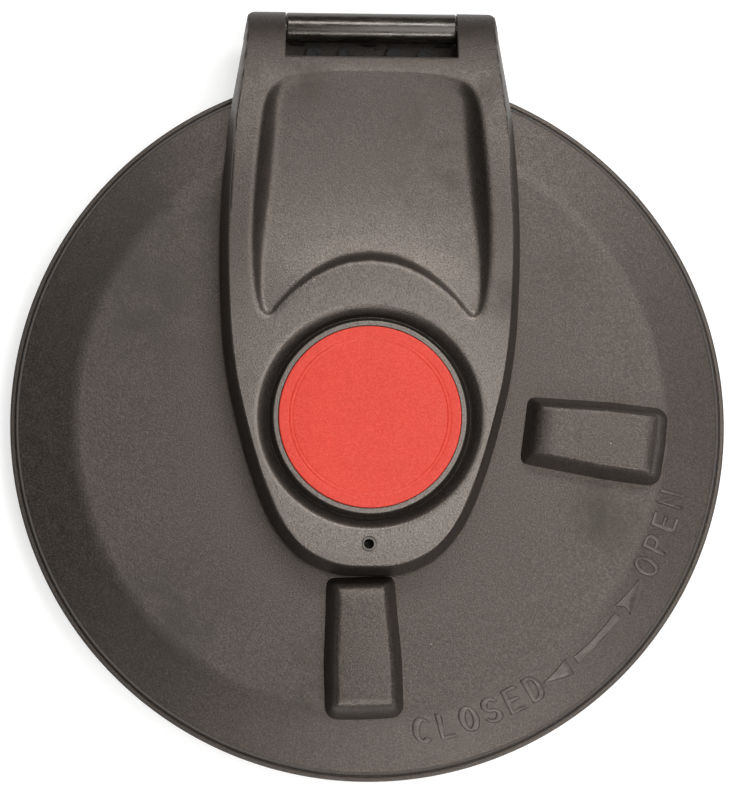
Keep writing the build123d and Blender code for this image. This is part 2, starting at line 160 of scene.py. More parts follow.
def inset_loop(loop, inset):
    """The loop moved inwards by inset, without the points that would fall too near its other sides."""
    ahead, behind = np.roll(loop, -1, axis=0), np.roll(loop, 1, axis=0)
    tangent = ahead - behind
    tangent /= np.linalg.norm(tangent, axis=1)[:, None]
    normal = np.stack([-tangent[:, 1], tangent[:, 0]], axis=1)
    moved = loop + normal * inset * (1 if signed_area(loop) > 0 else -1)
    distance, _ = outline_distance(moved, loop)
    return moved[distance > inset * 0.97 - 1e-6]


# ---- mesh helpers ----
def make_mesh(name, verts, faces, smooth_angle=35):
    mesh = bpy.data.meshes.new(name)
    mesh.from_pydata([tuple(v) for v in np.asarray(verts, float) * MM], [], [tuple(f) for f in faces])
    mesh.validate()
    piece = bpy.data.objects.new(name, mesh)
    bpy.context.scene.collection.objects.link(piece)
    shade(piece, smooth_angle)
    return piece


def shade(piece, angle):
    for polygon in piece.data.polygons:
        polygon.use_smooth = True
    piece.data.set_sharp_from_angle(angle=math.radians(angle))


def join_parts(parts):
    """One vertex and face list from several."""
    verts, faces, base = [], [], 0
    for part_verts, part_faces in parts:
        verts.append(np.asarray(part_verts, float))
        faces += [[base + i for i in face] for face in part_faces]
        base += len(part_verts)
    return np.vstack(verts), faces


def lathe(profile, count):
    """Closed solid of revolution about Z from a closed (r, z) outline, counter-clockwise."""
    angle = np.arange(count) * 2 * math.pi / count
    verts, faces, n = [], [], len(profile)
    for r, z in profile:
        verts += [(r * math.cos(a), r * math.sin(a), z) for a in angle]
    for i in range(n):
        j = (i + 1) % n
        for k in range(count):
            m = (k + 1) % count
            faces.append((i * count + k, i * count + m, j * count + m, j * count + k))
    return np.array(verts), faces


def round_outline(points, count=5):
    """Outline (x, y, radius) with each corner rounded by an arc of its radius."""
    out = []
    total = len(points)
    for i, (x, y, radius) in enumerate(points):
        here = np.array((x, y), float)
        if radius <= 0:
            out.append(here)
            continue
        before = np.array(points[i - 1][:2], float) - here
        after = np.array(points[(i + 1) % total][:2], float) - here
        before /= np.linalg.norm(before)
        after /= np.linalg.norm(after)
        half = math.acos(np.clip(before @ after, -1, 1)) / 2
        run = radius / math.tan(half)
        centre = here + (before + after) / np.linalg.norm(before + after) * radius / math.sin(half)
        start, end = here + before * run - centre, here + after * run - centre
        a0, a1 = math.atan2(start[1], start[0]), math.atan2(end[1], end[0])
        turn = (a1 - a0 + math.pi) % (2 * math.pi) - math.pi
        for k in range(count + 1):
            a = a0 + turn * k / count
            out.append(centre + radius * np.array((math.cos(a), math.sin(a))))
    return np.array(out)


def grid_points(low, high, step):
    """Points of a triangular lattice over a box."""
    rows = np.arange(low[1], high[1], step * 0.866)
    points = []
    for number, y in enumerate(rows):
        xs = np.arange(low[0] + (number % 2) * step / 2, high[0], step)
        points.append(np.stack([xs, np.full(len(xs), y)], axis=1))
    return np.vstack(points)


BUCKET = 2                     # side of the squares that curve points are sorted into
BORDER_GAP, LINE_GAP = 0.35, 0.5    # how near lattice points come to the rings and the curves, in steps


def triangulate(border, lines, holes, step):
    """Triangles over the inside of border, with edges along every line and a lattice between them."""
    rings = [border] + list(holes)
    free = grid_points(border.min(0), border.max(0), step)
    inside, _ = outline_distance(free, border)
    free = free[inside > BORDER_GAP * step]
    for hole in holes:
        distance, _ = outline_distance(free, hole)
        free = free[distance < -BORDER_GAP * step]
    on_curves = np.vstack(rings + list(lines))
    keep = np.ones(len(free), bool)
    cell = {}
    for x, y in on_curves:
        cell.setdefault((int(x // BUCKET), int(y // BUCKET)), []).append((x, y))
    for i, (x, y) in enumerate(free):
        cx, cy = int(x // BUCKET), int(y // BUCKET)
        for dx in (-1, 0, 1):
            for dy in (-1, 0, 1):
                for ox, oy in cell.get((cx + dx, cy + dy), ()):
                    if (x - ox) ** 2 + (y - oy) ** 2 < (LINE_GAP * step) ** 2:
                        keep[i] = False
    free = free[keep]
    edges, base = [], 0
    for number, curve in enumerate(rings + list(lines)):
        n = len(curve)
        edges += [(base + i, base + i + 1) for i in range(n - 1)]
        if number < len(rings):
            edges.append((base + n - 1, base))
        base += n
    points = [Vector(p) for p in np.vstack([on_curves, free])]
    verts, _, faces, _, _, _ = delaunay_2d_cdt(points, edges, [], 0, 1e-5)
    verts = np.array([tuple(v) for v in verts])
    faces = np.array([f for f in faces if len(f) == 3])
    centre = verts[faces].mean(1)
    keep, _ = outline_distance(centre, border)
    keep = keep > 0
    for hole in holes:
        distance, _ = outline_distance(centre, hole)
        keep &= distance < 0
    faces = faces[keep]
    a, b, c = verts[faces[:, 0]], verts[faces[:, 1]], verts[faces[:, 2]]
    turn = (b[:, 0] - a[:, 0]) * (c[:, 1] - a[:, 1]) - (b[:, 1] - a[:, 1]) * (c[:, 0] - a[:, 0])
    faces[turn < 0] = faces[turn < 0][:, ::-1]
    return verts, faces


def height_solid(border, holes, top, under):
    """Closed solid between two height fields over one outline.
    top and under are (lines, step, height function)."""
    (verts_t, faces_t), (verts_u, faces_u) = [
        triangulate(border, lines, holes, step) for lines, step, _ in (top, under)
    ]
    z_t, z_u = top[2](verts_t), under[2](verts_u)
    verts = np.vstack([np.column_stack([verts_t, z_t]), np.column_stack([verts_u, z_u])])
    faces = [tuple(f) for f in faces_t] + [tuple(int(i) + len(verts_t) for i in f[::-1]) for f in faces_u]
    for number, curve in enumerate([border] + list(holes)):
        high, low = nearest_ids(verts_t, curve), nearest_ids(verts_u, curve) + len(verts_t)
        outwards = (signed_area(curve) > 0) == (number == 0)
        for i in range(len(curve)):
            j = (i + 1) % len(curve)
            quad = (low[i], low[j], high[j], high[i])
            faces.append(quad if outwards else quad[::-1])
    return verts, faces


def nearest_ids(verts, curve):
    """The vertex that lies on each point of the curve."""
    ids = np.empty(len(curve), int)
    for i, p in enumerate(curve):
        ids[i] = ((verts - p) ** 2).sum(1).argmin()
    return ids


# ---- arm ----
arm_top = height_along([
    (-90, 46.2), (-77, 49.0), (-60, 51.4), (-25, 53.2), (35, 53.4), (100, 53.3), (130, 52.2), (150, 50.2),
    (166, 47.4), (178, 44.4), (191.2, 39.6), (197.7, 36.2), (201.7, 33.2), (204.2, 30.5), (205.4, 28.4),
    (205.7, 27.2),
])
arm_low = height_along([
    (-90, ARM_LOW), (-40, ARM_LOW), (0, ARM_LOW), (60, ARM_LOW), (120, ARM_LOW), (146, ARM_LOW), (156, 32.0),
    (168, 27.6), (181, 22.0), (188.2, 19.2), (195.2, 18.5), (200.2, 19.2), (203.6, 21.6), (205.3, 24.4),
    (205.7, 26.8),
])
arm_roof = height_along([
    (-90, 42.4), (-60, 47.3), (-25, 49.0), (35, 49.2), (60, 47.0), (90, 43.6), (108, 41.2), (128, 39.2),
    (148, 38.4), (158, 38.6), (168, 39.4),
])
scoop_floor = height_along([
    (40, 50.5), (50, 50.5), (58, 50.4), (66, 50.2), (76, 49.6), (84, 48.7), (92, 47.6), (108, 45.3),
    (124, 43.8), (140, 43.1), (152, 43.1), (164, 43.9), (177, 45.6),
])

ARM_SIDE = [
    (70.6, 150.3), (73.2, 120), (74.4, 92), (74.1, 66), (72.6, 40), (69.6, 18), (65.8, 1.1), (60.4, -19),
    (53.6, -38.7), (46.4, -53.6), (35.6, -66.6), (26.0, -72.6), (14.0, -76.4), (0, -77.2),
]
SCOOP_SIDE = [
    (0, 174.0), (14, 173.7), (27, 172.7), (38, 171.0), (46.3, 167.9), (51.0, 162.0), (53.2, 154.5),
    (54.5, 146), (56.4, 128), (57.9, 108), (58.5, 88), (57.6, 68.3), (55.7, 56.5), (53.8, 51.7),
    (51.0, 49.9), (48.3, 50.9), (45.2, 54.4), (39, 61), (26.5, 70.2), (12.5, 76.1), (0, 77.8),
]


def both_sides(half):
    """Closed loop from its right half, which runs from the middle line to the middle line."""
    left = half[::-1].copy()
    left[:, 0] *= -1
    return np.vstack([half, left[1:-1]]) if abs(half[0, 0]) < 1e-9 else np.vstack([half, left[1:]])


def arm_outer():
    """The arm's plan without its slot, from the right ear's corner round the tip."""
    corner = round_outline([(0, ARM_END[1], 0), (*ARM_END, 4.0), (*ARM_SIDE[0], 0)], 6)[1:-1]
    straight = corner[-1] + (np.array(ARM_SIDE[0]) - corner[-1]) * np.linspace(0, 1, 46)[1:-1, None]
    half = np.vstack([corner, straight, curve_through(ARM_SIDE, 1.2)])
    return both_sides(half)


def arm_border(outer):
    """The arm's plan with the slot for the barrel."""
    end_y = ARM_END[1]
    ys = end_y - (end_y - SLOT_Y) * (1 - np.cos(np.linspace(0, math.pi / 2, 24)))
    wall = np.stack([np.full(len(ys), SLOT_HALF), ys], axis=1)
    ear_end = np.stack([np.linspace(57.2, SLOT_HALF, 12), np.full(12, end_y)], axis=1)[1:-1]
    floor = np.stack([np.linspace(SLOT_HALF, -SLOT_HALF, 60), np.full(60, SLOT_Y)], axis=1)[1:-1]
    mirror = np.array((-1, 1))
    return np.vstack([outer, (ear_end * mirror)[::-1], (wall * mirror), floor, wall[::-1], ear_end[::-1]])


def clip_runs(loop, keep):
    """Open runs of a closed loop's points where keep is true."""
    if keep.all():
        return [close_up(loop)]
    start = int(np.argmin(keep))
    loop, keep = np.roll(loop, -start, axis=0), np.roll(keep, -start)
    runs, run = [], []
    for p, ok in zip(loop, keep):
        if ok:
            run.append(p)
        elif run:
            runs.append(np.array(run))
            run = []
    if run:
        runs.append(np.array(run))
    return [r for r in runs if len(r) > 1]


def trough_drop(r):
    """How far the rim, trough and collar round the cap lie under the arm's top."""
    outer = smooth_min((54.2 - r) * 1.5, np.full_like(r, 6.3), 0.6)
    outer = smooth_max(outer, np.zeros_like(r), 4.2)
    collar = smooth_max((r - COLLAR_OUT) * 4.0, np.full_like(r, 0.15), 2.2)
    return smooth_min(outer, collar, 2.0)


def arm_top_height(points, outer, scoop):
    """The arch between its drafted walls, less the scoop, the trough and cap well, the slot's rounded
    edge and the eyelet's pocket."""
    x, y = points[:, 0], points[:, 1]
    inset, _ = outline_distance(points, outer)
    arch = arm_top(y) - 0.5 * (x / 75.0) ** 2
    wall = ARM_LOW + 0.4 + np.maximum(inset, 0) / ARM_DRAFT
    z = smooth_min(arch, wall, 3.6)
    inside, _ = outline_distance(points, scoop)
    r = np.hypot(x, y)
    far = smooth_step(y, 60, 110)
    floor = scoop_floor(y) + 1.2 * (1 - smooth_step(r, 72, 92))
    dish = smooth_max(floor, arch - (1.15 + 0.45 * far) * inside, 2.4 + 4.0 * far)
    z = smooth_min(z, dish, 1.9)
    z = np.where(r < 57, z - trough_drop(r), z)
    z = np.where(r < COLLAR_IN - 0.1, WELL_FLOOR, z)
    from_slot = np.maximum(np.abs(x) - SLOT_HALF, SLOT_Y - y)
    rounding = np.clip(1 - from_slot / SLOT_EDGE, 0, 1)
    z = z - SLOT_EDGE * (1 - np.sqrt(1 - rounding ** 2))
    pocket = np.hypot(x, y - EYELET_Y)
    return np.where(pocket < EYELET_POCKET, POCKET_FLOOR, z)


def arm_under_height(points, outer):
    """The hollow under the arm, with its three ribs and the boss round the hub."""
    x, y = points[:, 0], points[:, 1]
    inset, _ = outline_distance(points, outer)
    low = arm_low(y)
    wall = low + (inset - 4.0) / ARM_DRAFT
    end_wall = low + (168 - y) / ARM_DRAFT
    r = np.hypot(x, y)
    roof = np.where(r < TROUGH_END, TROUGH_ROOF, arm_roof(y))
    z = np.maximum(low, np.minimum(np.minimum(wall, end_wall), roof))
    on_rib = (np.abs(np.abs(x) - RIB_X) < RIB_HALF) | (np.abs(x) < RIB_HALF)
    on_rib &= (y > RIB_ENDS[0]) & (y < RIB_ENDS[1])
    z = np.where(on_rib, np.minimum(z, np.maximum(low, ARM_LOW)), z)
    return np.where(r < HUB_R, HUB_FACE, z)


def make_arm():
    outer = arm_outer()
    border = arm_border(outer)
    scoop = both_sides(curve_through(SCOOP_SIDE, 0.8))
    hole = circle(EYELET_HOLE, 20, 0, EYELET_Y)

    def off_slot(loop):
        keep = ~((np.abs(loop[:, 0]) < SLOT_HALF + 1.2) & (loop[:, 1] > SLOT_Y - 1.2))
        return clip_runs(loop, keep)

    lines = []
    for inset in (0.5, 1.2, 2.0, 2.7, 3.2, 3.6, 4.0, 4.5, 5.3, 6.5):
        lines += off_slot(inset_loop(outer, inset))
    for inset in (-0.9, -0.5, -0.2, 0.0, 0.3, 0.7, 1.2, 1.8, 2.4, 3.1, 3.8, 4.6, 5.6, 7.0):
        lines += off_slot(inset_loop(scoop, inset))
    for back in (0.5, 1.2, 2.2, 3.5, 5.1, 7.1):
        for side in (-1, 1):
            xs = np.linspace(SLOT_HALF + 1.1, 56.0, 10) * side
            lines.append(np.stack([xs, np.full(10, ARM_END[1] - back)], axis=1))
    for away in (0.15, 0.4, 0.7, 0.95):
        x, y = SLOT_HALF + away, SLOT_Y - away
        ys = np.linspace(ARM_END[1] - 0.6, y, 16)
        right = np.stack([np.full(16, x), ys], axis=1)
        across = np.stack([np.linspace(x, -x, 60), np.full(60, y)], axis=1)[1:-1]
        lines.append(np.vstack([right, across, right[::-1] * (-1, 1)]))
    for r in (45.2, COLLAR_IN, *np.arange(45.8, 51.0, 0.3), *np.arange(51.0, 56.6, 0.5)):
        lines.append(close_up(circle(r, 220)))
    for r in (3.86, 3.94):
        lines.append(close_up(circle(r, 24, 0, EYELET_Y)))

    under_lines = []
    for inset in (3.9, 4.1, 5.0, 6.0, 6.8):
        under_lines += off_slot(inset_loop(outer, inset))
    for r in (31.0, 31.1, TROUGH_END - 0.05, TROUGH_END + 0.05):
        under_lines.append(close_up(circle(r, 150)))
    top = (lines, 1.7, lambda p: arm_top_height(p, outer, scoop))
    under = (under_lines, 2.2, lambda p: arm_under_height(p, outer))
    verts, faces = height_solid(border, [hole], top, under)
    arm = make_mesh("arm_moulding", verts, faces, 40)
    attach(arm, "arm")
    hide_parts("hinge_arm")
    return arm


# ---- lid ----
def border_z(r):
    """Height of the lid's outer face at a radius, apart from its rounded edges."""
    flat = PLATEAU_Z + CROWN * (1 - r / PLATEAU_R)
    return np.minimum(flat, PLATEAU_Z - (r - PLATEAU_R) * BORDER_SLOPE)


def lid_profile():
    """Section of the lid outside its middle hole, counter-clockwise from the hole's lower edge."""
    foot, lip_low, lip_high = LIP_Z
    edge_r = 173.3
    edge_z = PLATEAU_Z - (edge_r - PLATEAU_R) * BORDER_SLOPE
    return round_outline([
        (20.0, 17.3, 0), (28, 17.3, 0.6), (28, 25, 2), (145.5, 25, 1.5), (145.5, 18.6, 0.5),
        (147.5, 18.6, 0.5),
        (147.5, 22.7, 0), (158.5, 22.7, 0), (159, 21.9, 0), (170, 18.2, 1.5), (170, foot, 0.8),
        (174, foot, 0.8), (174, 13.4, 0.4), (LID_R, lip_low, 0.9), (LID_R, lip_high, 0.8),
        (175.5, 17.5, 0.3), (175.2, 16.9, 0.2),
        (174.8, 17.2, 0.2), (174.5, 19.0, 0.8), (edge_r, edge_z, 1.6), (PLATEAU_R, PLATEAU_Z, 26),
        (28, 29.7, 0), (20, 29.7, 0),
    ], 6)


def arc_prism(r_in, r_out, z_low, z_high, middle, arc, count=18):
    """Part of a ring as a closed solid."""
    verts, faces = [], []
    angles = np.radians(middle + np.linspace(-arc / 2, arc / 2, count))
    for a in angles:
        for r, z in ((r_in, z_low), (r_out, z_low), (r_out, z_high), (r_in, z_high)):
            verts.append((r * math.cos(a), r * math.sin(a), z))
    for i in range(count - 1):
        for k in range(4):
            m = (k + 1) % 4
            faces.append((i * 4 + k, (i + 1) * 4 + k, (i + 1) * 4 + m, i * 4 + m))
    faces.append((0, 1, 2, 3))
    last = (count - 1) * 4
    faces.append((last + 3, last + 2, last + 1, last))
    return np.array(verts), [f[::-1] for f in faces]


def rib_prism(angle, r_in, r_out, half, z_low, z_high):
    """Radial rib as a closed solid, narrower at its foot."""
    a = math.radians(angle)
    turn = np.array(((math.cos(a), -math.sin(a)), (math.sin(a), math.cos(a))))
    corners = np.array(((r_in, -half), (r_out, -half), (r_out, half), (r_in, half)))
    verts = []
    for z, narrow in ((z_low, 0.7), (z_high, 1.0)):
        plan = corners * (1, narrow) @ turn.T
        verts += [(x, y, z) for x, y in plan]
    faces = [(3, 2, 1, 0), (4, 5, 6, 7)] + [(i, (i + 1) % 4, (i + 1) % 4 + 4, i + 4) for i in range(4)]
    return np.array(verts), faces


GRIP_START, GRIP_LENGTH = 76.6, 70.6
GRIP_HALF = (16.8, 19.9)
GRIP_TOP = 14.8


def grip_outline():
    """Plan of a grip along +X from its inner end, its sides bowed a little."""
    a, b = GRIP_HALF
    return round_outline([
        (0, -a, 4.6), (GRIP_LENGTH * 0.6, -b + 0.5, 60), (GRIP_LENGTH, -b + 0.4, 6.5),
        (GRIP_LENGTH + 0.6, 0, 120), (GRIP_LENGTH, b - 0.4, 6.5), (GRIP_LENGTH * 0.6, b - 0.5, 60), (0, a, 4.6),
    ], 8)


def resample(loop, step):
    """The closed loop with points about step apart."""
    closed = close_up(loop)
    run = np.concatenate([[0], np.cumsum(np.linalg.norm(np.diff(closed, axis=0), axis=1))])
    count = int(round(run[-1] / step))
    at = np.arange(count) * run[-1] / count
    return np.stack([np.interp(at, run, closed[:, 0]), np.interp(at, run, closed[:, 1])], axis=1)


def grip_height(points, outline):
    """Height over the lid of a grip's skin: steep sides and outer end, a longer slope at its inner end."""
    u, v = points[:, 0], points[:, 1]
    inset, _ = outline_distance(points, outline)
    inset = np.maximum(inset, 0)
    top = GRIP_TOP - 0.018 * u - 0.0016 * v ** 2
    inner_bevel = GRIP_TOP - 2.6 + 0.30 * (u - 4)
    outer_bevel = GRIP_TOP - 1.4 + 0.55 * (GRIP_LENGTH - 8 - u)
    top = smooth_min(smooth_min(top, inner_bevel, 1.4), outer_bevel, 1.8)
    side = inset * 3.0
    inner = 0.3 + u * 2.3
    z = smooth_min(top, side, 7.0)
    return smooth_min(z, inner, 5.0)


def make_grip():
    outline = resample(grip_outline(), 1.0)
    lines = []
    for inset in (0.5, 1.1, 1.7, 2.3, 2.9, 3.5, 4.1, 4.8, 5.6, 6.6, 8.0):
        lines.append(close_up(inset_loop(outline, inset)))
    top = (lines, 1.3, lambda p: grip_height(p, outline))
    under = ([], 4.0, lambda p: np.full(len(p), -2.5))
    return height_solid(outline, [], top, under)


def place(verts, x, y, z, angle, mirror=False):
    """The vertices mirrored in the XZ plane if asked, turned about Z and moved to (x, y, z)."""
    v = np.array(verts, float)
    if mirror:
        v[:, 1] *= -1
    a = math.radians(angle)
    return np.column_stack([
        v[:, 0] * math.cos(a) - v[:, 1] * math.sin(a) + x,
        v[:, 0] * math.sin(a) + v[:, 1] * math.cos(a) + y,
        v[:, 2] + z,
    ])


MIRROR_LINE, GRIP_ANGLE, GRIP_YAW = -47.4, -2.2, -6.9     # compass directions, in degrees from +X


def make_lid():
    parts = [lathe(lid_profile(), 360)]
    grip_verts, grip_faces = make_grip()
    for mirror in (False, True):
        angle = 2 * MIRROR_LINE - GRIP_ANGLE if mirror else GRIP_ANGLE
        yaw = 2 * MIRROR_LINE - GRIP_YAW if mirror else GRIP_YAW
        x, y = GRIP_START * math.cos(math.radians(angle)), GRIP_START * math.sin(math.radians(angle))
        faces = [f[::-1] for f in grip_faces] if mirror else grip_faces
        parts.append((place(grip_verts, x, y, PLATEAU_Z, yaw, mirror), faces))
    for number in range(4):
        parts.append(arc_prism(160, 171.5, 9.0, 12.5, 45 + 90 * number, 32))
    for number in range(12):
        parts.append(rib_prism(number * 30, 27.5, 146.2, 1.5, 21.4, 25.3))
    verts, faces = join_parts(parts)
    lid = make_mesh("lid_moulding", verts, faces, 38)
    lid.modifiers.new("even_shading", "WEIGHTED_NORMAL").keep_sharp = True
    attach(lid, "lid")
    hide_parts("lid_shell")
    return lid


# ---- legend on the lid's border ----
LETTER_HEIGHT, LETTER_WIDTH, STROKE = 13.2, 8.8, 2.1
LEGEND_R = 155.2           # radius of the letters' middles
RIDGE = 0.75


def bow(cx, cy, rx, ry, start, end, count=14):
    """Points on part of an ellipse, in letter units, angles in degrees."""
    angles = np.radians(np.linspace(start, end, count))
    return [(cx + rx * math.cos(a), cy + ry * math.sin(a)) for a in angles]


# Each letter's strokes, on a square from 0 to 1 both ways, y upwards.
LETTERS = {
    "C": [bow(0.5, 0.5, 0.5, 0.5, 52, 308, 22)],
    "L": [[(0.08, 1), (0.08, 0), (0.92, 0)]],
    "O": [bow(0.5, 0.5, 0.5, 0.5, 90, 450, 30)],
    "S": [bow(0.5, 0.745, 0.44, 0.255, 25, 265, 12) + bow(0.5, 0.245, 0.46, 0.245, 85, -155, 12)],
    "E": [[(0.9, 1), (0.08, 1), (0.08, 0), (0.92, 0)], [(0.08, 0.52), (0.8, 0.52)]],
    "D": [[(0.08, 0), (0.08, 1), (0.42, 1)] + bow(0.42, 0.5, 0.5, 0.5, 88, -88, 14) + [(0.42, 0), (0.08, 0)]],
    "P": [[(0.08, 0), (0.08, 1), (0.56, 1)] + bow(0.56, 0.735, 0.36, 0.265, 85, -85, 10)
          + [(0.56, 0.47), (0.08, 0.47)]],
    "N": [[(0.06, 0), (0.06, 1), (0.94, 0), (0.94, 1)]],
}


def on_border(radius, angle, lift=0.0):
    """Point on the lid's sloping border. angle is in radians."""
    return (radius * math.cos(angle), radius * math.sin(angle), float(border_z(np.array(radius))) + lift)


def ridge(path, width=STROKE, rise=RIDGE):
    """Raised stroke along a path of (radius, angle) on the border, with rounded ends and shoulders."""
    flat = np.array([(r, a * r) for r, a in path], float)
    keep = np.concatenate([[True], np.linalg.norm(np.diff(flat, axis=0), axis=1) > 1e-6])
    flat = flat[keep]
    closed = np.linalg.norm(flat[0] - flat[-1]) < 0.05
    if closed:
        flat = flat[:-1]
    tangents = []
    n = len(flat)
    for i in range(n):
        before = flat[i] - flat[i - 1] if (i > 0 or closed) else flat[1] - flat[0]
        after = flat[(i + 1) % n] - flat[i] if (i < n - 1 or closed) else flat[-1] - flat[-2]
        before, after = before / np.linalg.norm(before), after / np.linalg.norm(after)
        mid = (before + after) / max(np.linalg.norm(before + after), 1e-6)
        stretch = 1 / max(mid @ before, 0.5)
        tangents.append((mid, stretch))
    section = [(-0.5, -0.5), (-0.5, 0.25), (-0.40, 0.80), (-0.26, 1.0),
               (0.26, 1.0), (0.40, 0.80), (0.5, 0.25), (0.5, -0.5)]
    rows = [(p, t, 1.0) for p, t in zip(flat, tangents)]
    if not closed:
        tips = ((0.5, 0.35), (0.36, 0.85))      # distance past the end and width there, in stroke widths
        rows = [(flat[0] - tangents[0][0] * width * past, tangents[0], share) for past, share in tips] + rows
        rows += [(flat[-1] + tangents[-1][0] * width * past, tangents[-1], share) for past, share in tips[::-1]]
    verts, faces, m = [], [], len(section)
    for p, (t, stretch), scale in rows:
        across = np.array((-t[1], t[0])) * stretch
        for s, h in section:
            q = p + across * s * width * scale
            lift = h * rise * (scale if h > 0 else 1)
            verts.append(on_border(q[0], q[1] / q[0], lift))
    total = len(rows)
    for i in range(total if closed else total - 1):
        j = (i + 1) % total
        for k in range(m):
            w = (k + 1) % m
            faces.append((i * m + k, j * m + k, j * m + w, i * m + w))
    if not closed:
        faces.append(tuple(range(m)))
        faces.append(tuple((total - 1) * m + k for k in range(m))[::-1])
    return np.array(verts), faces


def word(text, first_angle, pitch):
    """Raised word round the border, tops towards the middle, read counter-clockwise."""
    parts = []
    for number, letter in enumerate(text):
        middle = math.radians(first_angle + number * pitch)
        for stroke in LETTERS[letter]:
            path = []
            for x, y in stroke:
                radius = LEGEND_R - (y - 0.5) * (LETTER_HEIGHT - STROKE)
                path.append((radius, middle + (x - 0.5) * (LETTER_WIDTH - STROKE) / LEGEND_R))
            parts.append(ridge(path))
    return parts


def raised_plate(corners, rise=RIDGE, inset=0.45):
    """Flat-topped raised shape on the border from (radius, angle in degrees) corners."""
    plan = np.array([(r, math.radians(a) * r) for r, a in corners])
    plan = resample(plan, 0.8)
    middle = plan.mean(0)
    if signed_area(plan) < 0:
        plan = plan[::-1]
    rings = []
    for amount, lift in ((0, -0.3), (0, rise * 0.3), (0.18, rise * 0.8), (inset, rise)):
        direction = middle - plan
        length = np.linalg.norm(direction, axis=1)[:, None]
        rings.append((plan + direction / length * amount, lift))
    verts, faces, n = [], [], len(plan)
    for ring, lift in rings:
        verts += [on_border(q[0], q[1] / q[0], lift) for q in ring]
    for level in range(len(rings) - 1):
        for i in range(n):
            j = (i + 1) % n
            faces.append((level * n + i, level * n + j, (level + 1) * n + j, (level + 1) * n + i))
    top = (len(rings) - 1) * n
    faces.append(tuple(top + i for i in range(n)))
    faces.append(tuple(range(n))[::-1])
    return np.array(verts), faces


def make_legend():
    parts = word("CLOSED", -79.6, 4.38) + word("OPEN", -26.8, 4.4)
    shaft_angles = np.linspace(-48.5, -37.1, 14)
    parts.append(raised_plate([(154.4, a) for a in shaft_angles] + [(158.1, a) for a in shaft_angles[::-1]]))
    parts.append(raised_plate([(155.7, -55.8), (152.5, -49.7), (156.4, -50.1), (161.2, -50.2)]))
    parts.append(raised_plate([(155.2, -29.4), (161.0, -35.7), (156.4, -35.2), (152.0, -36.3)]))
    verts, faces = join_parts(parts)
    legend = make_mesh("legend", verts, faces, 50)
    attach(legend, "lid")
    return legend


# ---- cap and barrel ----
def make_cap():
    under, foot = 50.8, 47.6
    outline = [(0.01, under, 0), (42, under, 0), (42, foot, 0), (44.5, foot, 0), (44.5, under, 0),
               (CAP_R, under, 0), (CAP_R, CAP_TOP - 0.1, 0.7)]
    for groove in (40.0, 38.1):
        outline += [(groove + 0.50, CAP_TOP - 0.02, 0), (groove + 0.12, CAP_TOP - 0.34, 0),
                    (groove - 0.12, CAP_TOP - 0.34, 0), (groove - 0.50, CAP_TOP - 0.02, 0)]
    outline += [(20, CAP_TOP, 0), (0.01, CAP_TOP, 0)]
    verts, faces = lathe(round_outline(outline, 5), 256)
    cap = make_mesh("red_disc", verts, faces, 50)
    cap.modifiers.new("even_shading", "WEIGHTED_NORMAL").keep_sharp = True
    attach(cap, "arm")
    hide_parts("red_cap")
    return cap


def make_barrel():
    outline = round_outline([
        (BARREL_IN, -BARREL_HALF, 0.3), (BARREL_OUT, -BARREL_HALF, 1.1), (BARREL_OUT, BARREL_HALF, 1.1),
        (BARREL_IN, BARREL_HALF, 0.3),
    ], 5)
    verts, faces = lathe(outline, 96)
    turned = np.column_stack([verts[:, 2], AXIS_Y + verts[:, 0], AXIS_Z + verts[:, 1]])
    barrel = make_mesh("barrel_tube", turned, faces, 40)
    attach(barrel, "neck")
    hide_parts("hinge_barrel")
    return barrel


